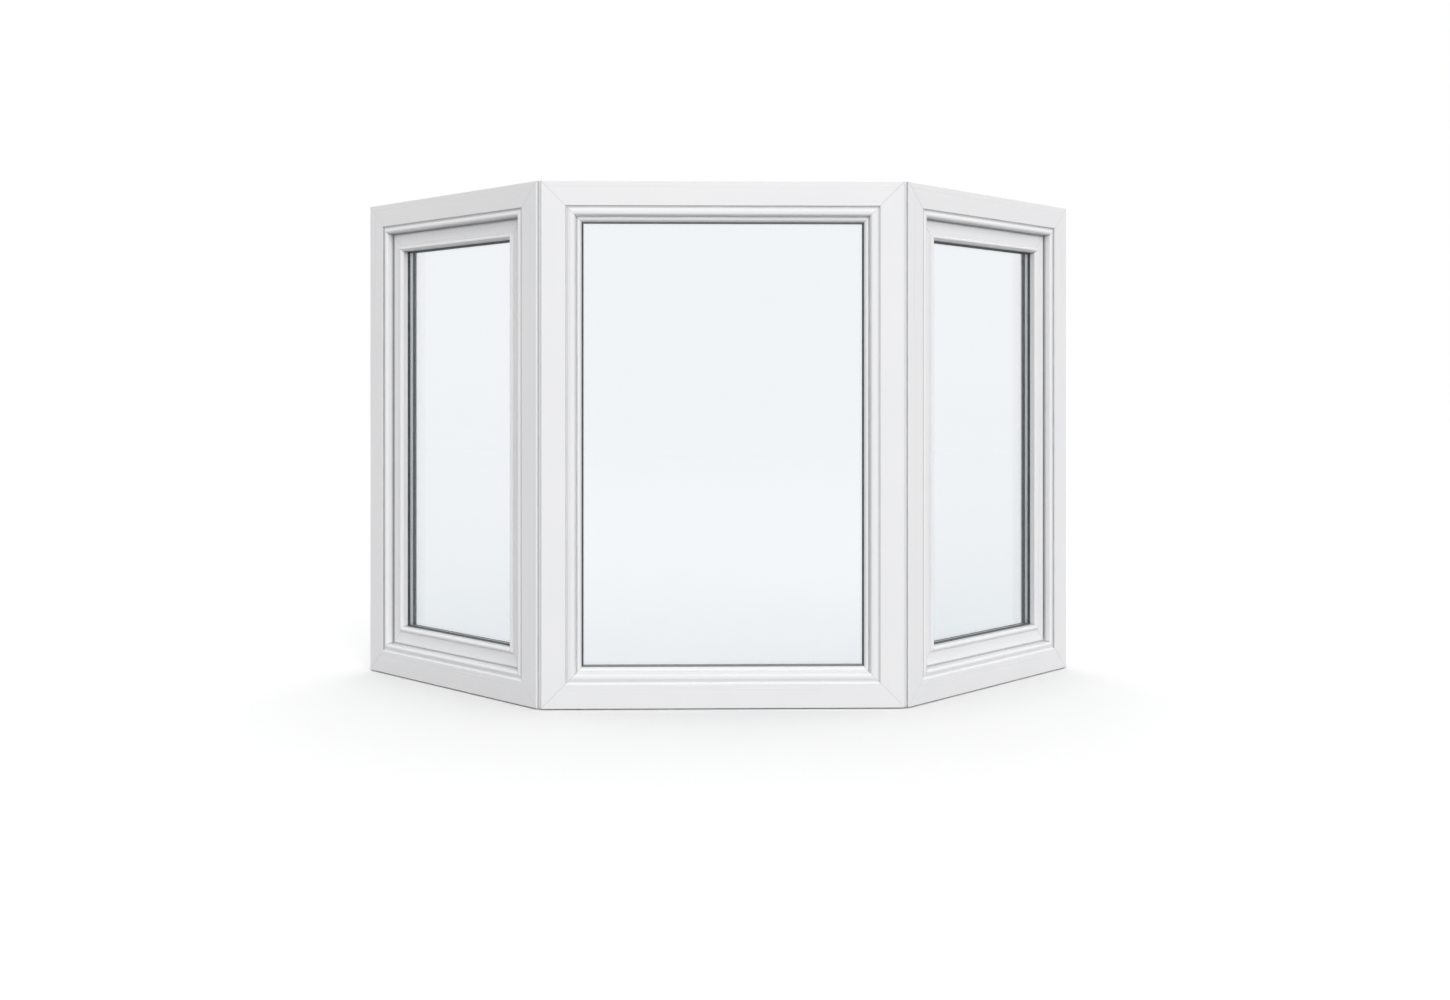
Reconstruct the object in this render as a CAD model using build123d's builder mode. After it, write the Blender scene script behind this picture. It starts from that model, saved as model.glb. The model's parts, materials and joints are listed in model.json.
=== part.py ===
"""Three-light bay window in white uPVC, 45 degree sides.

A fixed light stands in the middle and an outward-opening casement on each side. X runs along the
middle light, +Y points into the room and +Z is up. The origin is on the ground, in the middle of
the plan's outline. Sections are drawn across a member as (u, d): u runs from the frame's outer
edge towards the glass, and d from the outside face into the room.
"""

import os
from math import cos, radians, sin, sqrt, tan

from build123d import *

os.makedirs("parts", exist_ok=True)

# Overall sizes (mm)
window_height = 1220
middle_width = 853  # between the corner lines, on the outside faces
side_width = 700  # from a corner line to the wall end
side_angle = 45
frame_depth = 70

# Outside of every frame: a flat face, a shallow valley and a raised strip
edge_round = 2
back_round = 1.5
face_width = 57
face_round = 1.5
valley_edge = 59
valley_width = 3
valley_depth = 3.6
strip_start = 69
strip_drop = 0.8
strip_round = 2

# Casement frame: the strip drops straight to an inside stop
strip_edge = 76
strip_side_round = 6
stop_edge = 92
stop_depth = 60

# Fixed frame: the strip rolls over to a fine line and a bead beside the glass
ovolo_start = 78.5
ovolo_round = 7
ovolo_edge = 82.6
line_depth = 14
line_width = 1
fixed_bead_start = 84.4
fixed_bead_top = 12.5
fixed_bead_turn = 89.5
fixed_bead_round = 6
fixed_bead_edge = 93.5
fixed_bead_drop = 18
fixed_rebate = 79
fixed_glass_edge = 82
fixed_glass_depth = 24

# Corner joint
post_thickness = 9
post_nose = 8.5  # how far the post stands back from the corner line
joint_round = 2.5
trim_reach = 24
trim_thickness = 4
trim_round = 2

# Casement sash: a flat face, a fine line and a round bead that stands proud of the face
sash_edge = 79.4
sash_depth = 20.5
sash_round = 4
sash_back = 69
sash_cover = 94.5  # the part of the sash that stands inside the stop
sash_line = 110
sash_line_depth = 0.5
sash_bead_start = 111.4
sash_bead_rise = 114
sash_bead_shoulder = 15.5
sash_bead_turn = 119
sash_bead_top = 13.8
sash_bead_edge = 124.6
sash_bead_drop = 20
sash_bead_round = 2.5
sash_rebate = 113
sash_glass_edge = 115.5
sash_glass_depth = 37.5

# Small roundings and lines
fine_round = 0.4
soft_round = 0.8
corner_round = 1
weld_width = 2.2  # shallow line left where two bars are welded
weld_depth = 0.4

# Double glazing: 4 mm panes on a 12 mm spacer
pane_thickness = 4
cavity = 12
spacer_width = 9
spacer_cover = 2.5  # how far the spacer shows past the edge that covers it
outer_gasket_depth = 4.5
gasket_grip = 8.5
lip_reach = 4.2
lip_thickness = 0.8
room_gasket_depth = 5
room_gasket_grip = 8
room_gasket_proud = 1.4
room_bead_height = 13.2
room_bead_depth = 6.5
room_bead_step = 1.5
room_bead_slope = 5
weather_seal_inset = 1.5
seal_gap = 2  # between the sash and the inside stop
outer_seal_recess = 2.4  # behind the face of the sash
outer_seal_depth = 5

# Fixing holes through the middle head and sill
fixing_spacing = 600
fixing_radius = 3
fixing_depth = 32

# Casement fastener
handle_height = 570
handle_centre = 105
rose_width = 20
rose_height = 96
rose_depth = 8
rose_round = 2
neck_radius = 7
neck_length = 14
lever_length = 112
lever_width = 17
lever_depth = 9
lever_round = 3
lever_seat = 1  # how far the neck runs into the lever

cut_past = 5  # how far a cutting shape runs past what it cuts

half_angle = side_angle / 2
side_run = side_width * sin(radians(side_angle))
back_corner = (frame_depth - back_round * (2 - sqrt(2))) * cos(radians(side_angle))
front = -(side_run + back_corner) / 2  # Y of the middle light's outside face
joint_gap = post_thickness / 2 / cos(radians(half_angle))
glazing_depth = 2 * pane_thickness + cavity


def export(part, name):
    part.label = name
    export_step(part, f"parts/{name}.step")


def outline(*corners):
    """Closed face through (u, d, rounding) corners."""
    with BuildLine() as edge:
        FilletPolyline(*[(u, d) for u, d, _ in corners], radius=[r for _, _, r in corners], close=True)
    make_face(edge.edges())


class Light:
    """Where one light's frame stands: its plan angle, width and which ends meet a corner."""

    def __init__(self, name, angle, middle, width, corners):
        self.name = name
        self.along = Vector(cos(radians(angle)), sin(radians(angle)), 0)
        self.inward = Vector(-sin(radians(angle)), cos(radians(angle)), 0)
        self.middle = middle
        self.width = width
        self.corners = corners

    def edge(self, side):
        """Section plane of one member, with its length."""
        up = Vector(0, 0, 1)
        half_across = self.along * (self.width / 2)
        half_up = up * (window_height / 2)
        base, u_axis, length = {
            "sill": (self.middle, up, self.width),
            "head": (self.middle + up * window_height, -up, self.width),
            "left": (self.middle - half_across + half_up, self.along, window_height),
            "right": (self.middle + half_across + half_up, -self.along, window_height),
        }[side]
        return Plane(origin=base, x_dir=u_axis, z_dir=u_axis.cross(self.inward)), length

    def elevation(self, depth):
        """Plane of the light at a depth, x along it and y up, facing the room."""
        centre = self.middle + Vector(0, 0, window_height / 2) + self.inward * depth
        return Plane(origin=centre, x_dir=-self.along, z_dir=self.inward)


def bay_lights():
    """The three lights, from the left as seen outside."""
    middle = Light("centre", 0, Vector(0, front, 0), middle_width - 2 * joint_gap, ("left", "right"))
    sides = []
    for name, turn, corner_side in (("left", -1, "right"), ("right", 1, "left")):
        width = side_width - joint_gap
        along = Vector(cos(radians(side_angle)), turn * sin(radians(side_angle)), 0)
        start = Vector(turn * middle_width / 2, front, 0)
        centre = start + along * turn * (joint_gap + width / 2)
        sides.append(Light(name, turn * side_angle, centre, width, (corner_side,)))
    return sides[0], middle, sides[1]


# Sections


def frame_face():
    """Outside of every frame, from its outer edge to the raised strip."""
    return [
        (0, 0, edge_round),
        (face_width, 0, face_round),
        (valley_edge, valley_depth, corner_round),
        (valley_edge + valley_width, valley_depth, corner_round),
        (strip_start, strip_drop, strip_round),
    ]


def casement_frame():
    outline(
        *frame_face(),
        (strip_edge, strip_drop, strip_side_round),
        (strip_edge, stop_depth, 0),
        (stop_edge, stop_depth, corner_round),
        (stop_edge, frame_depth, back_round),
        (0, frame_depth, back_round),
    )


def fixed_frame():
    bead_back = fixed_glass_depth - outer_gasket_depth
    outline(
        *frame_face(),
        (ovolo_start, strip_drop, ovolo_round),
        (ovolo_edge, line_depth, 0),
        (ovolo_edge + line_width, line_depth, 0),
        (fixed_bead_start, fixed_bead_top, fine_round),
        (fixed_bead_turn, fixed_bead_top, fixed_bead_round),
        (fixed_bead_edge, fixed_bead_drop, soft_round),
        (fixed_bead_edge, bead_back, 0),
        (fixed_rebate, bead_back, 0),
        (fixed_rebate, frame_depth, back_round),
        (0, frame_depth, back_round),
    )


def sash_bar():
    bead_back = sash_glass_depth - outer_gasket_depth
    sash_inside = stop_depth - seal_gap
    outline(
        (sash_edge, sash_depth, sash_round),
        (sash_line, sash_depth, fine_round),
        ((sash_line + sash_bead_start) / 2, sash_depth + sash_line_depth, 0),
        (sash_bead_start, sash_depth, fine_round),
        (sash_bead_rise, sash_bead_shoulder, sash_bead_round),
        (sash_bead_turn, sash_bead_top, sash_bead_round),
        (sash_bead_edge, sash_bead_drop, sash_bead_round),
        (sash_bead_edge, bead_back, 0),
        (sash_rebate, bead_back, 0),
        (sash_rebate, sash_back, back_round),
        (sash_cover, sash_back, back_round),
        (sash_cover, sash_inside, 0),
        (sash_edge, sash_inside, corner_round),
    )


def glazing_bead(rebate, glass_depth):
    """Bead clipped in on the room side."""
    near = glass_depth + glazing_depth + room_gasket_depth
    top = rebate + room_bead_height
    outline(
        (rebate, near, 0),
        (top, near, corner_round),
        (top, near + room_bead_step, corner_round),
        (top - room_bead_slope, near + room_bead_depth, room_bead_step),
        (rebate, near + room_bead_depth, 0),
    )


def outer_gasket(bead_edge, glass_depth):
    """Wedge between the outside bead and the pane, with a lip that shows round the glass."""
    back = glass_depth - outer_gasket_depth
    outline(
        (bead_edge - gasket_grip, back, 0),
        (bead_edge, back, 0),
        (bead_edge + lip_reach, glass_depth - lip_thickness, lip_thickness / 2),
        (bead_edge + lip_reach, glass_depth, 0),
        (bead_edge - gasket_grip, glass_depth, 0),
    )


def room_gasket(rebate, glass_depth):
    near = glass_depth + glazing_depth
    edge = rebate + room_bead_height
    outline(
        (edge - room_gasket_grip, near, 0),
        (edge + room_gasket_proud, near, 0),
        (edge + room_gasket_proud, near + lip_thickness, lip_thickness / 2),
        (edge, near + room_gasket_depth, 0),
        (edge - room_gasket_grip, near + room_gasket_depth, 0),
    )


def weather_seal():
    """Seal between the sash and the inside stop."""
    near = stop_depth - seal_gap
    outline(
        (sash_edge + weather_seal_inset, near, 0),
        (stop_edge - weather_seal_inset, near, 0),
        (stop_edge - weather_seal_inset, stop_depth, 0),
        (sash_edge + weather_seal_inset, stop_depth, 0),
    )


def outer_seal():
    """Seal that closes the gap round the sash, just behind its face."""
    near = sash_depth + outer_seal_recess
    outline(
        (strip_edge, near, 0),
        (sash_edge, near, 0),
        (sash_edge, near + outer_seal_depth, 0),
        (strip_edge, near + outer_seal_depth, 0),
    )


def spacer_bar(edge, glass_depth):
    near = glass_depth + pane_thickness
    outline(
        (edge - spacer_width, near, 0),
        (edge, near, 0),
        (edge, near + cavity, 0),
        (edge - spacer_width, near + cavity, 0),
    )


# Members and rings


def mitred_bar(light, side, section, *sizes, weld=None):
    """One bar along a side of the light, mitred at both ends, with its weld lines if it has any."""
    edge, length = light.edge(side)
    mitre = Plane(origin=edge.origin, x_dir=edge.x_dir, z_dir=light.inward)
    with BuildPart() as bar:
        with BuildSketch(edge):
            section(*sizes)
        extrude(amount=length / 2, both=True)
        with BuildSketch(mitre):
            with BuildLine():
                Polyline((0, length / 2), (length / 2, 0), (0, -length / 2), close=True)
            make_face()
        extrude(amount=frame_depth, mode=Mode.INTERSECT)
        if weld:
            start, depth, run = weld
            for end in (-1, 1):
                diagonal = edge.x_dir - mitre.y_dir * end
                across = edge.x_dir + mitre.y_dir * end
                corner = edge.origin + mitre.y_dir * end * (length / 2) + diagonal * start
                cut = Plane(origin=corner + light.inward * depth, x_dir=across, z_dir=diagonal)
                slope = 1 if cut.y_dir.dot(light.inward) > 0 else -1
                with BuildSketch(cut):
                    with BuildLine():
                        Polyline(
                            (-weld_width / 2, 0),
                            (weld_width / 2, 0),
                            (0, slope * weld_depth),
                            close=True,
                        )
                    make_face()
                extrude(amount=run * sqrt(2), mode=Mode.SUBTRACT)
    return bar.part


def frame_member(light, side, section):
    """A mitred bar, splayed and rounded where the frame meets the next one at a corner."""
    bar = mitred_bar(light, side, section, weld=(0, 0, face_width))
    tangent = joint_round / tan(radians((90 - half_angle) / 2))
    past = frame_depth + cut_past
    beyond = past * tan(radians(half_angle))
    with BuildPart() as member:
        add(bar)
        for corner in light.corners:
            edge, length = light.edge(corner)
            with BuildSketch(edge):
                with BuildLine():
                    arc = JernArc((tangent, 0), (-1, 0), joint_round, -(90 + half_angle))
                    Polyline(
                        arc @ 1,
                        (beyond, past),
                        (-cut_past, past),
                        (-cut_past, -cut_past),
                        (tangent, -cut_past),
                        (tangent, 0),
                    )
                make_face()
            extrude(amount=length / 2 + cut_past, both=True, mode=Mode.SUBTRACT)
    return member.part


def ring(light, section, *sizes):
    """A closed ring of one section round the light."""
    bars = [mitred_bar(light, side, section, *sizes) for side in ("sill", "head", "left", "right")]
    with BuildPart() as loop:
        add(bars)
    return loop.part


def sheet(light, edge, depth):
    """One pane of glass, its edges a given distance inside the frame's edges."""
    with BuildPart() as pane:
        with BuildSketch(light.elevation(depth)):
            Rectangle(light.width - 2 * edge, window_height - 2 * edge)
        extrude(amount=pane_thickness)
    return pane.part


def member_names(light):
    if light.name == "centre":
        return {"head": "head", "sill": "sill", "left": "left_jamb", "right": "right_jamb"}
    wall = "left" if light.name == "left" else "right"
    corner = light.corners[0]
    return {"head": "head", "sill": "sill", wall: "wall_jamb", corner: "corner_jamb"}


# The three lights

left_light, centre_light, right_light = bay_lights()

for light in (left_light, centre_light, right_light):
    fixed = light is centre_light
    for side, name in member_names(light).items():
        member = frame_member(light, side, fixed_frame if fixed else casement_frame)
        if fixed and side in ("head", "sill"):
            edge = light.edge(side)[0]
            face = Plane(
                origin=edge.origin + light.inward * fixing_depth, x_dir=light.along, z_dir=edge.x_dir
            )
            with BuildPart() as drilled:
                add(member)
                with BuildSketch(face):
                    with GridLocations(fixing_spacing, 0, 2, 1):
                        Circle(fixing_radius)
                extrude(amount=fixed_rebate + cut_past, mode=Mode.SUBTRACT)
            member = drilled.part
        export(member, f"{light.name}_{name}")

    rebate, bead_edge = (fixed_rebate, fixed_bead_edge) if fixed else (sash_rebate, sash_bead_edge)
    glass_edge = fixed_glass_edge if fixed else sash_glass_edge
    glass_depth = fixed_glass_depth if fixed else sash_glass_depth

    if not fixed:
        wall_side = "left" if light.name == "left" else "right"
        rails = {
            "head": "sash_top_rail",
            "sill": "sash_bottom_rail",
            wall_side: "sash_wall_stile",
            light.corners[0]: "sash_corner_stile",
        }
        for side, name in rails.items():
            weld = (sash_edge, sash_depth, sash_line - sash_edge)
            export(mitred_bar(light, side, sash_bar, weld=weld), f"{light.name}_{name}")

    export(sheet(light, glass_edge, glass_depth), f"{light.name}_outer_pane")
    inner_depth = glass_depth + pane_thickness + cavity
    export(sheet(light, glass_edge, inner_depth), f"{light.name}_inner_pane")
    export(ring(light, spacer_bar, bead_edge + spacer_cover, glass_depth), f"{light.name}_spacer")

    seals = [
        ring(light, outer_gasket, bead_edge, glass_depth),
        ring(light, room_gasket, rebate, glass_depth),
    ]
    if not fixed:
        seals += [ring(light, weather_seal), ring(light, outer_seal)]
    with BuildPart() as gaskets:
        add(seals)
    export(gaskets.part, f"{light.name}_gaskets")

    for sides, name in ((("sill", "head"), "bead_rails"), (("left", "right"), "bead_uprights")):
        pair = [mitred_bar(light, side, glazing_bead, rebate, glass_depth) for side in sides]
        with BuildPart() as beads:
            add(pair)
        export(beads.part, f"{light.name}_{name}")

# Corner posts and the cover strips inside them

for name, turn in (("left", -1), ("right", 1)):
    bisector = Vector(-turn * sin(radians(half_angle)), cos(radians(half_angle)), 0)
    across = bisector.cross(Vector(0, 0, 1))
    joint = Plane(origin=(turn * middle_width / 2, front, 0), x_dir=across, z_dir=(0, 0, 1))
    half_post = post_thickness / 2
    slope = tan(radians(half_angle))
    inside = frame_depth / cos(radians(half_angle)) + half_post * slope
    with BuildPart() as post:
        with BuildSketch(joint):
            outline(
                (-half_post, post_nose, corner_round),
                (half_post, post_nose, corner_round),
                (half_post, inside, 0),
                (-half_post, inside, 0),
            )
        extrude(amount=window_height)
    export(post.part, f"{name}_corner_post")

    tip = inside + (trim_reach - half_post) * slope
    lean_in = trim_thickness * sin(radians(half_angle))
    lean_up = trim_thickness * cos(radians(half_angle))
    crown = inside - half_post * slope + trim_thickness / cos(radians(half_angle))
    with BuildPart() as trim:
        with BuildSketch(joint):
            outline(
                (-half_post, inside, 0),
                (half_post, inside, 0),
                (trim_reach, tip, fine_round),
                (trim_reach - lean_in, tip + lean_up, back_round),
                (0, crown, trim_round),
                (-trim_reach + lean_in, tip + lean_up, back_round),
                (-trim_reach, tip, fine_round),
            )
        extrude(amount=window_height)
    export(trim.part, f"{name}_corner_trim")

# Casement fasteners, on the stile next to each corner

for light in (left_light, right_light):
    edge = light.edge(light.corners[0])[0]
    foot = edge.origin - Vector(0, 0, window_height / 2 - handle_height)
    seat = Plane(
        origin=foot + edge.x_dir * handle_centre + light.inward * sash_back,
        x_dir=-light.along,
        z_dir=light.inward,
    )
    with BuildPart() as handle:
        with BuildSketch(seat):
            SlotOverall(rose_height, rose_width, rotation=90)
        extrude(amount=rose_depth)
        fillet(handle.faces().sort_by(Axis(seat.origin, light.inward))[-1].edges(), rose_round)
        with BuildSketch(seat.offset(rose_depth)):
            Circle(neck_radius)
        extrude(amount=neck_length)
        with BuildSketch(seat.offset(rose_depth + neck_length - lever_seat)):
            with Locations((0, -lever_length / 2 + lever_width / 2)):
                SlotOverall(lever_length, lever_width, rotation=90)
        extrude(amount=lever_depth)
        fillet(handle.faces().sort_by(Axis(seat.origin, light.inward))[-1].edges(), lever_round)
    export(handle.part, f"{light.name}_handle")

print("overall depth", round(-2 * front, 1), "front at", round(front, 2), "joint gap", round(joint_gap, 2))
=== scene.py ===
import json
from math import cos, pi, radians, sin

import bmesh
import bpy
from mathutils import Euler, Matrix, Vector

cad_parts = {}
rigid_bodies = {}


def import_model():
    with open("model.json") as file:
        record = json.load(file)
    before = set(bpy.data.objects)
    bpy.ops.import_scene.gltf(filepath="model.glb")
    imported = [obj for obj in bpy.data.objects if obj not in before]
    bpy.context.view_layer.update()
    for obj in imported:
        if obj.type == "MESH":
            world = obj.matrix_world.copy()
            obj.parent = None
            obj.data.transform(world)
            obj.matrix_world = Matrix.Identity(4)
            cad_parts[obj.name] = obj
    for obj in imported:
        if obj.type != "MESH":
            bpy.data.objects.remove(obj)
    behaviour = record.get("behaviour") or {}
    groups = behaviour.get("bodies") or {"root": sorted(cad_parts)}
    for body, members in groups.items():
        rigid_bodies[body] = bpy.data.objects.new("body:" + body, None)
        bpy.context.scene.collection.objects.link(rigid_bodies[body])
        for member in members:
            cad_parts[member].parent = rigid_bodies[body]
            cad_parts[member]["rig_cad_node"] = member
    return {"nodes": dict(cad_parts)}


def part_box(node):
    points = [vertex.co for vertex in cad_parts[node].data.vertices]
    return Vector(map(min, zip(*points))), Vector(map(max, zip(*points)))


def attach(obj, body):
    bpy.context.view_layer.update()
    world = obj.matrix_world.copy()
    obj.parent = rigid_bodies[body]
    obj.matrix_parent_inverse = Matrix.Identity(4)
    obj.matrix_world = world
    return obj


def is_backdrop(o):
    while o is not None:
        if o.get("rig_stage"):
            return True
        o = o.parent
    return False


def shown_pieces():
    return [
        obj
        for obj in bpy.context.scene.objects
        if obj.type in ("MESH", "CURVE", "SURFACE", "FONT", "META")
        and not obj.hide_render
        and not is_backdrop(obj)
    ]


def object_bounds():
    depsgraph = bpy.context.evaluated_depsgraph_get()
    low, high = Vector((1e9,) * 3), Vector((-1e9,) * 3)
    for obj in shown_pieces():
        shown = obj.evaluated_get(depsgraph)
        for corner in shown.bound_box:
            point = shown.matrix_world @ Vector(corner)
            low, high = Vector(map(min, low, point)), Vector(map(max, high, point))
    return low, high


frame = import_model()
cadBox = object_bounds()
print("frame loaded:", len(frame["nodes"]), "nodes")

# The plan of the bay, as its source has it. Its height and the pieces' places are read from the frame.
bay = {
    "middleWidth": 0.853,
    "sideWidth": 0.700,
    "sideAngle": radians(45),
    "jointGap": 0.00487,
}
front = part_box("centre_sill")[0].y
height = cadBox[1].z


class Light:
    # one of the three lights: its middle on the outside face, its turn in plan and its half sizes

    def __init__(self, name, turn):
        self.name = name
        self.opens = turn != 0
        self.angle = turn * bay["sideAngle"]
        self.along = Vector((cos(self.angle), sin(self.angle), 0))
        self.inward = Vector((-sin(self.angle), cos(self.angle), 0))
        self.halfHeight = height / 2
        if self.opens:
            self.halfWidth = (bay["sideWidth"] - bay["jointGap"]) / 2
            corner = Vector((turn * bay["middleWidth"] / 2, front, self.halfHeight))
            self.middle = corner + self.along * turn * (bay["jointGap"] + self.halfWidth)
        else:
            self.halfWidth = bay["middleWidth"] / 2 - bay["jointGap"]
            self.middle = Vector((0, front, self.halfHeight))

    def extent(self, name, direction):
        # how far a node reaches along a direction, from the light's middle
        mesh = frame["nodes"][f"{self.name}_{name}"].data
        reach = [direction.dot(vertex.co - self.middle) for vertex in mesh.vertices]
        return min(reach), max(reach)

    def point(self, across, depth, up):
        return self.middle + self.along * across + self.inward * depth + Vector((0, 0, up))


lights = [Light("left", -1), Light("centre", 0), Light("right", 1)]
casements = [light for light in lights if light.opens]


# Camera: level, a little left of the middle, with its view shifted down to take in the whole window

cameraSetup = {
    "distance": 3.399,  # in front of the middle light
    "across": -0.061,
    "height": 0.7315,
    "turn": -0.0192,
    "lens": 36.53,
    "shift": -0.0744,
    "reach": 60,
}


def buildCamera():
    data = bpy.data.cameras.new("camera")
    data.lens = cameraSetup["lens"]
    data.shift_y = cameraSetup["shift"]
    data.clip_end = cameraSetup["reach"]
    camera = bpy.data.objects.new("camera", data)
    camera.location = (cameraSetup["across"], front - cameraSetup["distance"], cameraSetup["height"])
    camera.rotation_euler = (pi / 2, 0, cameraSetup["turn"])
    bpy.context.collection.objects.link(camera)
    bpy.context.scene.camera = camera


buildCamera()
print("camera placed")


# Node helpers

nodeSpacing = 200
noiseRange = (0.3, 0.7)  # most of what a noise gives lies in here


def addNode(tree, kind, inputs=None, **settings):
    # inputs maps a socket's name or number to a value, or to another node's output
    node = tree.nodes.new("ShaderNode" + kind)
    node.location = (nodeSpacing * len(tree.nodes), 0)
    for key, value in settings.items():
        setattr(node, key, value)
    for key, value in (inputs or {}).items():
        if isinstance(value, bpy.types.NodeSocket):
            tree.links.new(value, node.inputs[key])
        else:
            node.inputs[key].default_value = value
    return node


def maths(tree, operation, first, second=0.0, third=0.0):
    return addNode(tree, "Math", {0: first, 1: second, 2: third}, operation=operation).outputs[0]


def remap(tree, value, fromLow, fromHigh, toLow=0.0, toHigh=1.0, curve="LINEAR"):
    inputs = {"Value": value, "From Min": fromLow, "From Max": fromHigh, "To Min": toLow, "To Max": toHigh}
    return addNode(tree, "MapRange", inputs, interpolation_type=curve).outputs[0]


def mixColour(tree, factor, first, second, blend="MIX"):
    node = addNode(tree, "Mix", {0: factor, 6: first, 7: second}, data_type="RGBA", blend_type=blend)
    return node.outputs[2]


def noise(tree, place, scale, detail, roughness=0.5):
    inputs = {"Vector": place, "Scale": scale, "Detail": detail, "Roughness": roughness}
    return addNode(tree, "TexNoise", inputs).outputs["Fac"]


def spread(tree, value, low, high):
    return remap(tree, value, *noiseRange, low, high)


def axisOf(tree, vector, axis):
    return addNode(tree, "SeparateXYZ", {0: vector}).outputs[axis]


def bumpFrom(tree, relief, strength, distance):
    return addNode(tree, "Bump", {"Strength": strength, "Distance": distance, "Height": relief}).outputs[0]


def objectPlace(tree):
    return addNode(tree, "TexCoord").outputs["Object"]


def facing(tree, axis):
    return axisOf(tree, addNode(tree, "NewGeometry").outputs["Normal"], axis)


def newGroup(name, inputs, outputs):
    tree = bpy.data.node_groups.new(name, "ShaderNodeTree")
    for label, kind in inputs:
        tree.interface.new_socket(label, in_out="INPUT", socket_type="NodeSocket" + kind)
    for label, kind in outputs:
        tree.interface.new_socket(label, in_out="OUTPUT", socket_type="NodeSocket" + kind)
    start = tree.nodes.new("NodeGroupInput")
    end = tree.nodes.new("NodeGroupOutput")
    return tree, start.outputs, end.inputs


def useGroup(tree, group, inputs):
    return addNode(tree, "Group", inputs, node_tree=group).outputs


def newMaterial(name):
    material = bpy.data.materials.new(name)
    material.use_nodes = True
    tree = material.node_tree
    tree.nodes.clear()
    return material, tree


def endMaterial(tree, inputs):
    # the shader that each solid surface ends in
    shader = addNode(tree, "BsdfPrincipled", inputs)
    addNode(tree, "OutputMaterial", {"Surface": shader.outputs[0]})


def setMaterial(node, material):
    node.data.materials.clear()
    node.data.materials.append(material)


def paintNodes(start, endings, material):
    for name, node in frame["nodes"].items():
        if name.startswith(start) and name.endswith(endings):
            setMaterial(node, material)


# Shared effects. Each noise, here and below, is a scale, a detail and, where it isn't 0.5, a roughness

effects = {
    "seamFade": (0.4, 1.0),  # of the line's width
    "grooveShadeFade": (0.3, 1.0),  # of the reach
    "grooveShadeNoise": (22.0, 4.0),
    "shadeOpen": (0.4, 0.9),  # how open a place is, from full painted shade to none
    "upRange": (0.05, 0.5),  # how much a face looks up, from all painted shade kept to the least of it
    "shadeOnTop": 0.2,
    "shadeNoise": (35.0, 4.0),
    "shadeSamples": 12,
    "patchiness": (0.75, 1.0),
    "cloudNoise": (5.0, 3.0),
    "smearNoise": (24.0, 5.0, 0.6),
    "lineNoise": (420.0, 2.0),
    "peelNoise": (260.0, 2.0),
    "waveNoise": (14.0, 1.0),
    "lineHeight": 0.35,
    "peelHeight": 0.25,
    "waveHeight": 1.2,
    "wearBend": (0.99, 0.9),  # how alike the two normals are, from no wear to full
    "wearNoise": (90.0, 5.0),
    "wearBroken": (0.42, 0.6),
    "wearSamples": 4,
}


def buildWeldSeam():
    # thin line where two bars are welded: the diagonals of a light
    tree, given, result = newGroup(
        "weldSeam",
        [("Place", "Vector"), ("Half Width", "Float"), ("Half Height", "Float"), ("Line Width", "Float")],
        [("Mask", "Float"), ("From Edge", "Float")],
    )
    split = addNode(tree, "SeparateXYZ", {0: given["Place"]}).outputs
    fromSide = maths(tree, "SUBTRACT", given["Half Width"], maths(tree, "ABSOLUTE", split["X"]))
    fromEnd = maths(tree, "SUBTRACT", given["Half Height"], maths(tree, "ABSOLUTE", split["Z"]))
    apart = maths(tree, "ABSOLUTE", maths(tree, "SUBTRACT", fromSide, fromEnd))
    away = maths(tree, "DIVIDE", apart, given["Line Width"])
    tree.links.new(remap(tree, away, *effects["seamFade"], 1.0, 0.0, "SMOOTHSTEP"), result["Mask"])
    tree.links.new(maths(tree, "MINIMUM", fromSide, fromEnd), result["From Edge"])
    return tree


def buildGrooveShade():
    # painted shade: a dark line along a bar, at one place in the bar's section
    tree, given, result = newGroup(
        "grooveGrime",
        [("Place", "Vector"), ("From Edge", "Float"), ("Groove", "Vector"), ("Reach", "Float")],
        [("Mask", "Float")],
    )
    depth = axisOf(tree, given["Place"], "Y")
    section = addNode(tree, "CombineXYZ", {"X": given["From Edge"], "Y": depth}).outputs[0]
    apart = addNode(tree, "VectorMath", {0: section, 1: given["Groove"]}, operation="DISTANCE")
    away = maths(tree, "DIVIDE", apart.outputs["Value"], given["Reach"])
    near = remap(tree, away, *effects["grooveShadeFade"], 1.0, 0.0, "SMOOTHSTEP")
    patches = noise(tree, given["Place"], *effects["grooveShadeNoise"])
    uneven = spread(tree, patches, *effects["patchiness"])
    tree.links.new(maths(tree, "MULTIPLY", near, uneven), result["Mask"])
    return tree


def buildCreviceShade():
    # painted shade: grey where faces meet in a groove or a rebate, found by ambient occlusion, less on
    # faces that look up
    tree, given, result = newGroup(
        "creviceDust",
        [("Place", "Vector"), ("Reach", "Float"), ("Amount", "Float")],
        [("Mask", "Float")],
    )
    samples = effects["shadeSamples"]
    hollow = addNode(tree, "AmbientOcclusion", {"Distance": given["Reach"]}, samples=samples)
    closed = remap(tree, hollow.outputs["AO"], *effects["shadeOpen"], 1.0, 0.0, "SMOOTHSTEP")
    kept = remap(tree, facing(tree, "Z"), *effects["upRange"], 1.0, effects["shadeOnTop"])
    patches = noise(tree, given["Place"], *effects["shadeNoise"])
    uneven = spread(tree, patches, *effects["patchiness"])
    held = maths(tree, "MULTIPLY", uneven, kept)
    paintedShade = maths(tree, "MULTIPLY", maths(tree, "MULTIPLY", closed, held), given["Amount"])
    tree.links.new(paintedShade, result["Mask"])
    return tree


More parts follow.
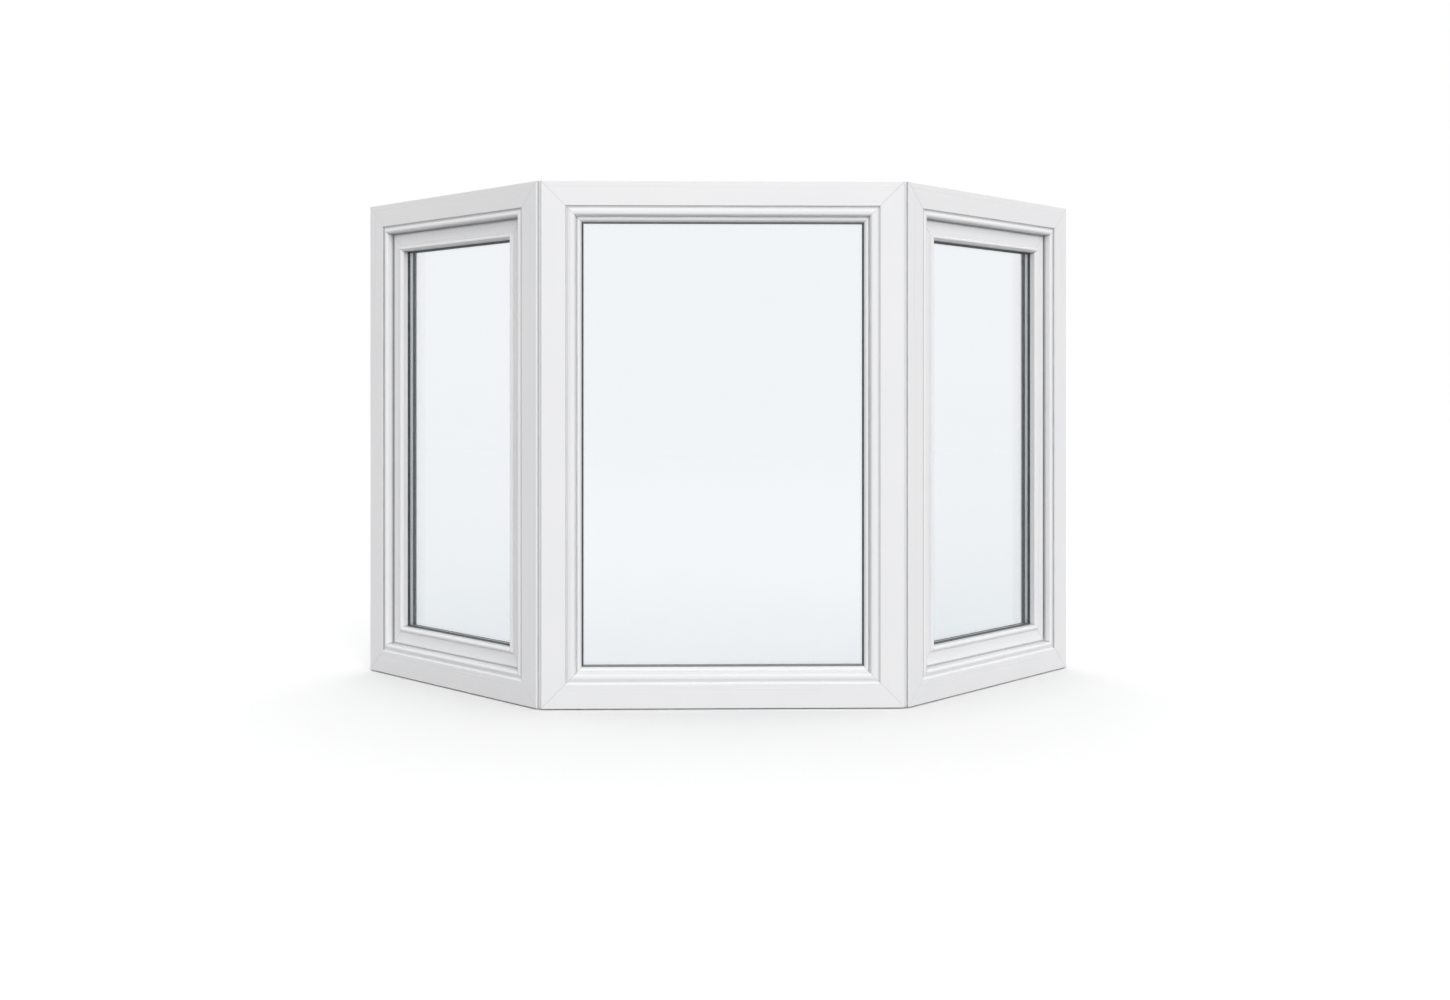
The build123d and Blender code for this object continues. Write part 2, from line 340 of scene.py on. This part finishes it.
def buildExtrudedSkin():
    # what extruded plastic shows close to: faint clouds, die lines along the bar, fine peel
    tree, given, result = newGroup(
        "extrudedSkin",
        [("Place", "Vector"), ("Grain", "Vector")],
        [("Clouds", "Float"), ("Smears", "Float"), ("Height", "Float")],
    )
    clouds = noise(tree, given["Place"], *effects["cloudNoise"])
    smears = noise(tree, given["Grain"], *effects["smearNoise"])
    lines = noise(tree, given["Grain"], *effects["lineNoise"])
    peel = noise(tree, given["Place"], *effects["peelNoise"])
    wave = noise(tree, given["Place"], *effects["waveNoise"])
    relief = maths(tree, "MULTIPLY", peel, effects["peelHeight"])
    relief = maths(tree, "MULTIPLY_ADD", lines, effects["lineHeight"], relief)
    relief = maths(tree, "MULTIPLY_ADD", wave, effects["waveHeight"], relief)
    for label, value in (("Clouds", clouds), ("Smears", smears), ("Height", relief)):
        tree.links.new(value, result[label])
    return tree


def buildEdgeWear():
    # rubbed outer edges, found where a rounded normal leaves the true one
    tree, given, result = newGroup(
        "edgeWear",
        [("Place", "Vector"), ("Radius", "Float")],
        [("Mask", "Float")],
    )
    rounded = addNode(tree, "Bevel", {"Radius": given["Radius"]}, samples=effects["wearSamples"]).outputs[0]
    true = addNode(tree, "NewGeometry").outputs["Normal"]
    match = addNode(tree, "VectorMath", {0: rounded, 1: true}, operation="DOT_PRODUCT")
    bent = remap(tree, match.outputs["Value"], *effects["wearBend"])
    rub = noise(tree, given["Place"], *effects["wearNoise"])
    broken = remap(tree, rub, *effects["wearBroken"])
    tree.links.new(maths(tree, "MULTIPLY", bent, broken), result["Mask"])
    return tree


weldSeam = buildWeldSeam()
grooveGrime = buildGrooveShade()
creviceDust = buildCreviceShade()
extrudedSkin = buildExtrudedSkin()
edgeWear = buildEdgeWear()
print("shared effects built")


def lightCoordinates(tree, light):
    # x along the light, y into the room and z up, from the light's own middle
    inputs = {"Vector": objectPlace(tree), "Location": light.middle, "Rotation": (0, 0, light.angle)}
    return addNode(tree, "Mapping", inputs, vector_type="TEXTURE").outputs[0]


def barPlace(tree, light, place, lineWidth=1.0):
    # the welds of a light, and how far in from the frame's outer edge a place is
    inputs = {
        "Place": place,
        "Half Width": light.halfWidth,
        "Half Height": light.halfHeight,
        "Line Width": lineWidth,
    }
    return useGroup(tree, weldSeam, inputs)


# White plastic, for the frames, the sashes, the beads and the corner covers

plastic = {
    "colour": (0.85, 0.85, 0.860, 1),
    "cloudColour": (0.835, 0.837, 0.850, 1),
    "cloudRange": (0.35, 0.65),
    "roughness": (0.24, 0.36),
    "refraction": 1.5,
    "stretch": 0.012,  # how far the die lines are drawn out along a bar
    "bump": (0.35, 0.00008),  # strength and distance, as in each bump below
    "seamColour": (0.66, 0.66, 0.675, 1),
    "seamWidth": 0.0012,
    "seamRough": 0.2,  # what ends in Rough is added to the roughness
    "seamHeight": -3.0,  # added to the skin's relief
    "creviceShadeColour": (0.36, 0.36, 0.37, 1),
    "creviceShadeReach": 0.008,
    "creviceShadeRough": 0.3,
    "wornRadius": 0.0012,
    "wornRough": -0.08,
    "grooveShadeColour": (0.36, 0.36, 0.365, 1),
    "grooveShadeRough": 0.25,
    "valley": (0.0600, 0.0030, 0),  # across and into the section
    "valleyReach": 0.0045,
    "gap": (0.0777, 0.0225, 0),  # round a sash
    "gapReach": 0.0110,
    # painted shade in crevices, in the valley and in the gap: the sills and bottom rails, lit from above,
    # get almost none
    "sill": {"paintedShade": 0.04, "valley": 0.0, "gap": 0.0},
    "rails": {"paintedShade": 0.2, "valley": 0.5, "gap": 0.05},
    "uprights": {"paintedShade": 1.0, "valley": 0.9, "gap": 0.38},
    "middleUprights": {"paintedShade": 0.65, "valley": 0.4},
}


def buildPlastic(bars, light, upright):
    material, tree = newMaterial(f"whitePlastic_{light.name}_{bars}")
    amounts = plastic[bars]
    place = lightCoordinates(tree, light)
    stretch = plastic["stretch"]
    scale = (1, 1, stretch) if upright else (stretch, 1, 1)
    grain = addNode(tree, "Mapping", {"Vector": place, "Scale": scale}).outputs[0]
    skin = useGroup(tree, extrudedSkin, {"Place": place, "Grain": grain})
    clouds = remap(tree, skin["Clouds"], *plastic["cloudRange"])
    colour = mixColour(tree, clouds, plastic["colour"], plastic["cloudColour"])
    rough = spread(tree, skin["Smears"], *plastic["roughness"])

    seam = barPlace(tree, light, place, plastic["seamWidth"])
    colour = mixColour(tree, seam["Mask"], colour, plastic["seamColour"])
    rough = maths(tree, "MULTIPLY_ADD", seam["Mask"], plastic["seamRough"], rough)
    relief = maths(tree, "MULTIPLY_ADD", seam["Mask"], plastic["seamHeight"], skin["Height"])

    # painted shade along the valley, and round a sash along the gap
    grooves = ("valley", "gap") if light.opens else ("valley",)
    for groove in grooves:
        inputs = {
            "Place": place,
            "From Edge": seam["From Edge"],
            "Groove": plastic[groove],
            "Reach": plastic[groove + "Reach"],
        }
        grooveShading = useGroup(tree, grooveGrime, inputs)["Mask"]
        grooveShading = maths(tree, "MULTIPLY", grooveShading, amounts[groove])
        colour = mixColour(tree, grooveShading, colour, plastic["grooveShadeColour"])
        rough = maths(tree, "MULTIPLY_ADD", grooveShading, plastic["grooveShadeRough"], rough)

    # painted shade where faces meet in grooves and rebates, less on the sills
    inputs = {"Place": place, "Reach": plastic["creviceShadeReach"], "Amount": amounts["paintedShade"]}
    paintedShade = useGroup(tree, creviceDust, inputs)["Mask"]
    colour = mixColour(tree, paintedShade, colour, plastic["creviceShadeColour"])
    rough = maths(tree, "MULTIPLY_ADD", paintedShade, plastic["creviceShadeRough"], rough)
    worn = useGroup(tree, edgeWear, {"Place": place, "Radius": plastic["wornRadius"]})["Mask"]
    rough = maths(tree, "MULTIPLY_ADD", worn, plastic["wornRough"], rough)
    bump = bumpFrom(tree, relief, *plastic["bump"])
    inputs = {"Base Color": colour, "Roughness": rough, "Normal": bump, "IOR": plastic["refraction"]}
    endMaterial(tree, inputs)
    return material


def paintPlastic():
    for light in lights:
        uprights = "uprights" if light.opens else "middleUprights"
        paintNodes(light.name, ("jamb", "stile", "uprights", "trim"), buildPlastic(uprights, light, True))
        paintNodes(light.name, ("head", "rail", "rails"), buildPlastic("rails", light, False))
        # a bottom rail is a rail too, so the sill's finish comes last
        paintNodes(light.name, ("sill", "bottom_rail"), buildPlastic("sill", light, False))


paintPlastic()
print("white plastic painted")


# Rubber for the gaskets

rubber = {
    "colour": (0.034, 0.037, 0.040, 1),
    "bloomColour": (0.085, 0.090, 0.096, 1),
    "bloomRange": (0.45, 0.75),
    "bloomNoise": (45.0, 6.0, 0.65),
    "poreNoise": (1400.0, 2.0),
    "roughness": (0.48, 0.66),
    "refraction": 1.5,
    "bump": (0.4, 0.0001),
    "paintedLightColour": (0.25, 0.26, 0.265, 1),
    # painted light: lighter grey on the upright and the level gaskets, most on level ones and on the middle
    # light
    "paintedLightShare": {"left": (0.0, 0.25), "centre": (0.14, 0.8), "right": (0.0, 0.25)},
    "sealLightColour": (0.50, 0.51, 0.515, 1),  # painted light: lighter grey on the seal in the gap round a sash, which lies in shade
    "sealLight": (0.23, 0.95),  # on that seal, upright and level
    "sealEdge": (0.082, 0.086),  # from the frame's outer edge, where that seal ends
}


def buildRubber(light):
    material, tree = newMaterial(f"gasketRubber_{light.name}")
    place = lightCoordinates(tree, light)
    bloom = noise(tree, place, *rubber["bloomNoise"])
    pores = noise(tree, place, *rubber["poreNoise"])
    pale = remap(tree, bloom, *rubber["bloomRange"])
    colour = mixColour(tree, pale, rubber["colour"], rubber["bloomColour"])

    # painted light: the level gaskets, and the middle light's upright ones, are made lighter
    level = maths(tree, "ABSOLUTE", facing(tree, "Z"))
    paintedLightShare = remap(tree, level, *effects["upRange"], *rubber["paintedLightShare"][light.name])
    colour = mixColour(tree, paintedLightShare, colour, rubber["paintedLightColour"])

    # painted light on the seal in the shaded gap round a sash
    near, far = rubber["sealEdge"]
    inGap = remap(tree, barPlace(tree, light, place)["From Edge"], near, far, 1.0, 0.0)
    high = maths(tree, "ABSOLUTE", axisOf(tree, place, "Z"))
    sealLight = remap(tree, high, light.halfHeight - far, light.halfHeight - near, *rubber["sealLight"])
    colour = mixColour(tree, maths(tree, "MULTIPLY", inGap, sealLight), colour, rubber["sealLightColour"])

    rough = spread(tree, bloom, *rubber["roughness"])
    bump = bumpFrom(tree, pores, *rubber["bump"])
    inputs = {"Base Color": colour, "Roughness": rough, "Normal": bump, "IOR": rubber["refraction"]}
    endMaterial(tree, inputs)
    return material


# Warm-edge spacers: a black body with a strip of aluminium foil towards the outside pane

spacer = {
    "foilColour": (0.93, 0.94, 0.95, 1),
    "dullColour": (0.82, 0.84, 0.85, 1),
    "foilRoughness": (0.35, 0.5),
    "foilShare": 0.62,  # of the spacer's depth
    "edge": 0.0004,  # how far the foil's edge wanders, and fades
    "drawnNoise": (300.0, 3.0),
    "patchNoise": (18.0, 3.0),
    "bodyColour": (0.022, 0.024, 0.026, 1),
    "bodyRoughness": 0.6,
    "bump": (0.3, 0.00005),
}


def buildSpacer(light):
    material, tree = newMaterial(f"spacerBar_{light.name}")
    place = lightCoordinates(tree, light)
    near = light.extent("outer_pane", light.inward)[1]
    far = light.extent("inner_pane", light.inward)[0]
    edge = near + (far - near) * spacer["foilShare"]
    drawn = noise(tree, place, *spacer["drawnNoise"])
    patches = noise(tree, place, *spacer["patchNoise"])
    ragged = maths(tree, "MULTIPLY_ADD", patches, spacer["edge"], edge)
    inside = maths(tree, "SUBTRACT", axisOf(tree, place, "Y"), ragged)
    body = remap(tree, inside, 0.0, spacer["edge"])
    foil = mixColour(tree, patches, spacer["foilColour"], spacer["dullColour"])
    colour = mixColour(tree, body, foil, spacer["bodyColour"])
    metal = maths(tree, "SUBTRACT", 1.0, body)
    shiny = spread(tree, drawn, *spacer["foilRoughness"])
    rough = remap(tree, body, 0.0, 1.0, shiny, spacer["bodyRoughness"])
    bump = bumpFrom(tree, drawn, *spacer["bump"])
    endMaterial(tree, {"Base Color": colour, "Metallic": metal, "Roughness": rough, "Normal": bump})
    return material


# Painted metal for the corner posts, the handles, their collars and their screw caps

paint = {
    "colour": (0.80, 0.80, 0.815, 1),
    "thinColour": (0.76, 0.765, 0.78, 1),
    "patchNoise": (30.0, 4.0),
    "peelNoise": (650.0, 2.0),
    "roughness": (0.30, 0.42),
    "refraction": 1.5,
    "bump": (0.3, 0.0001),
    "creviceShadeColour": (0.33, 0.33, 0.34, 1),
    "creviceShadeReach": 0.008,
    "creviceShadeAmount": 0.45,
}


def buildPaint():
    material, tree = newMaterial("whitePaint")
    place = objectPlace(tree)
    peel = noise(tree, place, *paint["peelNoise"])
    patches = noise(tree, place, *paint["patchNoise"])
    # painted shade in the crevices, such as the groove at a corner post
    inputs = {"Place": place, "Reach": paint["creviceShadeReach"], "Amount": paint["creviceShadeAmount"]}
    paintedShade = useGroup(tree, creviceDust, inputs)["Mask"]
    colour = mixColour(tree, patches, paint["colour"], paint["thinColour"])
    colour = mixColour(tree, paintedShade, colour, paint["creviceShadeColour"])
    rough = spread(tree, patches, *paint["roughness"])
    bump = bumpFrom(tree, peel, *paint["bump"])
    inputs = {"Base Color": colour, "Roughness": rough, "Normal": bump, "IOR": paint["refraction"]}
    endMaterial(tree, inputs)
    return material


# Glass: clear panes with a faint blue cast, which let the light through to what is behind

glass = {
    "colour": (0.936, 0.950, 0.966, 1),
    "lowShadeColour": (0.855, 0.882, 0.900, 1),  # painted shade: darker on the lower part of a pane
    "lowShade": {"left": 0.6, "centre": 0.0, "right": 0.7},
    "lowShadeTop": 0.25,  # above the middle of a pane
    "filmNoise": (7.0, 5.0),
    "filmRange": (0.45, 0.75),
    "filmRoughness": (0.0, 0.02),
    "rippleNoise": (2.5, 1.0),
    "refraction": 1.5,
    "bump": (0.1, 0.002),
    "shadowColour": (0.95, 0.965, 0.975, 1),
}


def buildGlass(light):
    material, tree = newMaterial(f"windowGlass_{light.name}")
    place = lightCoordinates(tree, light)
    ripple = noise(tree, place, *glass["rippleNoise"])
    film = noise(tree, place, *glass["filmNoise"])
    rough = remap(tree, film, *glass["filmRange"], *glass["filmRoughness"])
    # painted shade: the side panes grow darker towards the bottom
    high = axisOf(tree, place, "Z")
    lowShade = glass["lowShade"][light.name]
    low = remap(tree, high, -light.halfHeight, glass["lowShadeTop"], lowShade, 0.0, "SMOOTHSTEP")
    inputs = {
        "Base Color": mixColour(tree, low, glass["colour"], glass["lowShadeColour"]),
        "Roughness": rough,
        "IOR": glass["refraction"],
        "Transmission Weight": 1.0,
        "Normal": bumpFrom(tree, ripple, *glass["bump"]),
    }
    shader = addNode(tree, "BsdfPrincipled", inputs)
    clear = addNode(tree, "BsdfTransparent", {"Color": glass["shadowColour"]})
    shadow = addNode(tree, "LightPath").outputs["Is Shadow Ray"]
    mix = addNode(tree, "MixShader", {0: shadow, 1: shader.outputs[0], 2: clear.outputs[0]})
    addNode(tree, "OutputMaterial", {"Surface": mix.outputs[0]})
    return material


def paintRest():
    paintNodes("", ("post", "handle"), buildPaint())
    for light in lights:
        paintNodes(light.name, ("outer_pane", "inner_pane"), buildGlass(light))
        paintNodes(light.name, "gaskets", buildRubber(light))
        paintNodes(light.name, "spacer", buildSpacer(light))


paintRest()
print("glass, rubber and metal painted")


# Handle fittings: screw caps on the rose, a collar round the neck and a key barrel in the lever

fittings = {
    "roseDepth": 0.008,
    "neckFromTop": 0.048,
    "capFromNeck": 0.036,
    "capRadius": 0.0042,
    "capHeight": 0.0007,
    "collarRadius": 0.0086,
    "collarHeight": 0.0016,
    "barrelRadius": 0.0050,
    "barrelHeight": 0.0008,
    "plugRadius": 0.0036,
    "keyLength": 0.0048,
    "keyWidth": 0.0009,
    "keyRound": 0.4,  # of the key slot's width
    "bevel": 0.0003,
    "bevelSteps": 3,
    "sides": 48,
    "steelColour": (0.62, 0.62, 0.63, 1),
    "rubbedColour": (0.74, 0.74, 0.75, 1),
    "rubbedNoise": (160.0, 4.0),
    "turnedNoise": (900.0, 3.0),
    "steelRoughness": (0.24, 0.4),
    "steelBump": (0.3, 0.00003),
    "slotShadeColour": (0.03, 0.03, 0.032, 1),
    "slotNoise": (1200.0, 2.0),
    "slotRoughness": (0.5, 0.8),
}


def buildSteel():
    material, tree = newMaterial("keySteel")
    place = objectPlace(tree)
    turned = noise(tree, place, *fittings["turnedNoise"])
    rubbed = noise(tree, place, *fittings["rubbedNoise"])
    colour = mixColour(tree, rubbed, fittings["steelColour"], fittings["rubbedColour"])
    rough = spread(tree, turned, *fittings["steelRoughness"])
    bump = bumpFrom(tree, turned, *fittings["steelBump"])
    endMaterial(tree, {"Base Color": colour, "Metallic": 1.0, "Roughness": rough, "Normal": bump})
    return material


# painted shade: a dark sliver in the key slot stands in for the shade inside it
def buildSlotShadow():
    material, tree = newMaterial("keySlot")
    grooveShading = noise(tree, objectPlace(tree), *fittings["slotNoise"])
    rough = spread(tree, grooveShading, *fittings["slotRoughness"])
    endMaterial(tree, {"Base Color": fittings["slotShadeColour"], "Roughness": rough})
    return material


def bevelEdges(mesh, edges, offset):
    steps = fittings["bevelSteps"]
    bmesh.ops.bevel(
        mesh, geom=edges, offset=offset, segments=steps, profile=0.5, affect="EDGES", material=-1
    )


def placePiece(name, mesh, light, spot, material):
    # a piece made flat on its own XY plane, turned to face the room and stood at a spot on the handle
    turn = Euler((-pi / 2, 0, light.angle)).to_matrix().to_4x4()
    bmesh.ops.transform(mesh, matrix=Matrix.Translation(spot) @ turn, verts=mesh.verts)
    mesh.normal_update()
    data = bpy.data.meshes.new(name)
    mesh.to_mesh(data)
    mesh.free()
    for face in data.polygons:
        face.use_smooth = True
    piece = bpy.data.objects.new(name, data)
    bpy.context.collection.objects.link(piece)
    setMaterial(piece, material)
    return piece


def makeDisc(radius, depth, bevel):
    # a round plate standing on its plane, with its top edge rounded
    mesh = bmesh.new()
    sides = fittings["sides"]
    bmesh.ops.create_cone(mesh, cap_ends=True, segments=sides, radius1=radius, radius2=radius, depth=depth)
    bmesh.ops.translate(mesh, vec=(0, 0, depth / 2), verts=mesh.verts)
    rim = [edge for edge in mesh.edges if all(vertex.co.z > depth / 2 for vertex in edge.verts)]
    bevelEdges(mesh, rim, bevel)
    return mesh


def makeBarrel():
    # the lock's ring, with its plug set back inside it
    mesh = makeDisc(fittings["barrelRadius"], fittings["barrelHeight"], fittings["bevel"])
    top = max(mesh.faces, key=lambda face: face.calc_center_median().z)
    inset = fittings["barrelRadius"] - fittings["bevel"] - fittings["plugRadius"]
    bmesh.ops.inset_region(mesh, faces=[top], thickness=inset, depth=0)
    bmesh.ops.inset_region(mesh, faces=[top], thickness=fittings["bevel"] / 2, depth=-fittings["bevel"])
    return mesh


def makeKeySlot():
    mesh = bmesh.new()
    bmesh.ops.create_cube(mesh, size=1)
    ends = [edge for edge in mesh.edges if edge.verts[0].co.z * edge.verts[1].co.z < 0]
    size = (fittings["keyWidth"], fittings["keyLength"], fittings["bevel"])
    bmesh.ops.scale(mesh, vec=size, verts=mesh.verts)
    bevelEdges(mesh, ends, fittings["keyWidth"] * fittings["keyRound"])
    return mesh


def addFittings():
    capPaint = bpy.data.materials["whitePaint"]
    steel = buildSteel()
    dark = buildSlotShadow()
    up = Vector((0, 0, 1))
    for light in casements:
        across = sum(light.extent("handle", light.along)) / 2
        back, lever = light.extent("handle", light.inward)
        neck = light.extent("handle", up)[1] - fittings["neckFromTop"]
        rose = back + fittings["roseDepth"]
        for label, offset in (("upper", fittings["capFromNeck"]), ("lower", -fittings["capFromNeck"])):
            cap = makeDisc(fittings["capRadius"], fittings["capHeight"], fittings["bevel"])
            spot = light.point(across, rose, neck + offset)
            placePiece(f"{light.name}_{label}ScrewCap", cap, light, spot, capPaint)
        collar = makeDisc(fittings["collarRadius"], fittings["collarHeight"], fittings["bevel"] * 2)
        spot = light.point(across, rose, neck)
        placePiece(f"{light.name}_neckCollar", collar, light, spot, capPaint)
        face = light.point(across, lever, neck)
        placePiece(f"{light.name}_keyBarrel", makeBarrel(), light, face, steel)
        plug = face + light.inward * (fittings["barrelHeight"] - fittings["bevel"])
        placePiece(f"{light.name}_keySlot", makeKeySlot(), light, plug, dark)


addFittings()
print("handle fittings added")


# Studio: white all round, brighter from above and from the front right

studio = {
    "floorSize": 30,
    "floorDrop": 0.0019,  # below the frames, as under packers
    "floorColour": (0.94, 0.94, 0.94, 1),
    "floorBounce": (0.30, 0.30, 0.30, 1),
    "floorRoughness": 0.9,
    "floorCells": 8,
    "contactShadowReach": 0.22,
    "contactShadowAmount": 0.24,
    "contactShadowSamples": 16,
    "throughGlass": (0.62, 1.0),  # how far the floor whitens through the panes, near and far
    "throughReach": (0.6, 15.0),
    "background": (1, 1, 1, 1),
    "skyColour": (1, 1, 1, 1),
    "skyLow": 0.53,
    "skyHigh": 0.84,
    "skyBehind": 0.32,
    "keyFrom": (13, 24),  # degrees to the right of straight in front, and above the horizon
    "keyStrength": 1.71,
    "keySpread": 50,
    "topFrom": (170, 75),
    "topStrength": 0.38,
    "topSpread": 60,
}


def seenDirectly(tree, rays):
    # on for the camera, and for what shows in a reflection or through glass
    seen = maths(tree, "MAXIMUM", rays["Is Camera Ray"], rays["Is Glossy Ray"])
    return maths(tree, "MAXIMUM", seen, rays["Is Transmission Ray"])


def buildFloorMaterial():
    material, tree = newMaterial("studioFloor")
    rays = addNode(tree, "LightPath").outputs
    samples = studio["contactShadowSamples"]
    # painted contact shadow: ambient occlusion darkens the floor near the window, on top of its real shadow
    near = addNode(tree, "AmbientOcclusion", {"Distance": studio["contactShadowReach"]}, samples=samples)
    shade = remap(tree, near.outputs["AO"], 0.0, 1.0, 1 - studio["contactShadowAmount"], 1.0)
    lit = mixColour(tree, 1.0, studio["floorColour"], shade, "MULTIPLY")
    colour = mixColour(tree, seenDirectly(tree, rays), studio["floorBounce"], lit)
    inputs = {"Base Color": colour, "Roughness": studio["floorRoughness"], "Specular IOR Level": 0.0}
    shader = addNode(tree, "BsdfPrincipled", inputs)
    white = addNode(tree, "Emission", {"Color": studio["background"], "Strength": 1.0})
    away = addNode(tree, "VectorMath", {0: objectPlace(tree)}, operation="LENGTH").outputs["Value"]
    whiter = remap(tree, away, *studio["throughReach"], *studio["throughGlass"], "SMOOTHSTEP")
    through = maths(tree, "MULTIPLY", rays["Is Transmission Ray"], whiter)
    mix = addNode(tree, "MixShader", {0: through, 1: shader.outputs[0], 2: white.outputs[0]})
    addNode(tree, "OutputMaterial", {"Surface": mix.outputs[0]})
    return material


def buildFloor():
    mesh = bmesh.new()
    cells = studio["floorCells"]
    bmesh.ops.create_grid(mesh, x_segments=cells, y_segments=cells, size=studio["floorSize"])
    bmesh.ops.translate(mesh, vec=(0, 0, -studio["floorDrop"]), verts=mesh.verts)
    data = bpy.data.meshes.new("studioFloor")
    mesh.to_mesh(data)
    mesh.free()
    floor = bpy.data.objects.new("studioFloor", data)
    bpy.context.collection.objects.link(floor)
    setMaterial(floor, buildFloorMaterial())
    floor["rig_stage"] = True


def buildWorld():
    world = bpy.data.worlds.new("studio")
    bpy.context.scene.world = world
    world.use_nodes = True
    tree = world.node_tree
    tree.nodes.clear()
    direction = addNode(tree, "TexCoord").outputs["Generated"]
    above = remap(tree, axisOf(tree, direction, "Z"), 0.0, 1.0, studio["skyLow"], studio["skyHigh"])
    behind = remap(tree, axisOf(tree, direction, "Y"), 0.0, 1.0, 0.0, studio["skyBehind"])
    strength = maths(tree, "ADD", above, behind)
    light = addNode(tree, "Background", {"Color": studio["skyColour"], "Strength": strength})
    white = addNode(tree, "Background", {"Color": studio["background"], "Strength": 1.0})
    seen = seenDirectly(tree, addNode(tree, "LightPath").outputs)
    mix = addNode(tree, "MixShader", {0: seen, 1: light.outputs[0], 2: white.outputs[0]})
    addNode(tree, "OutputWorld", {"Surface": mix.outputs[0]})


def buildSun(name, whereFrom, strength, angle):
    # a sun with a wide disc lights the floor evenly and throws soft shadows
    aside, above = (radians(degrees) for degrees in whereFrom)
    back = Vector((sin(aside) * cos(above), -cos(aside) * cos(above), sin(above)))
    lamp = bpy.data.lights.new(name, "SUN")
    lamp.energy = strength
    lamp.angle = radians(angle)
    sun = bpy.data.objects.new(name, lamp)
    sun.rotation_euler = (-back).to_track_quat("-Z", "Y").to_euler()
    sun.visible_glossy = False
    sun.visible_transmission = False
    bpy.context.collection.objects.link(sun)


buildFloor()
buildWorld()
buildSun("keyLamp", studio["keyFrom"], studio["keyStrength"], studio["keySpread"])
buildSun("topLamp", studio["topFrom"], studio["topStrength"], studio["topSpread"])
bpy.context.scene.view_settings.view_transform = "Standard"
print("studio built")


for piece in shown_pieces():
    if "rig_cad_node" not in piece:
        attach(piece, "root")
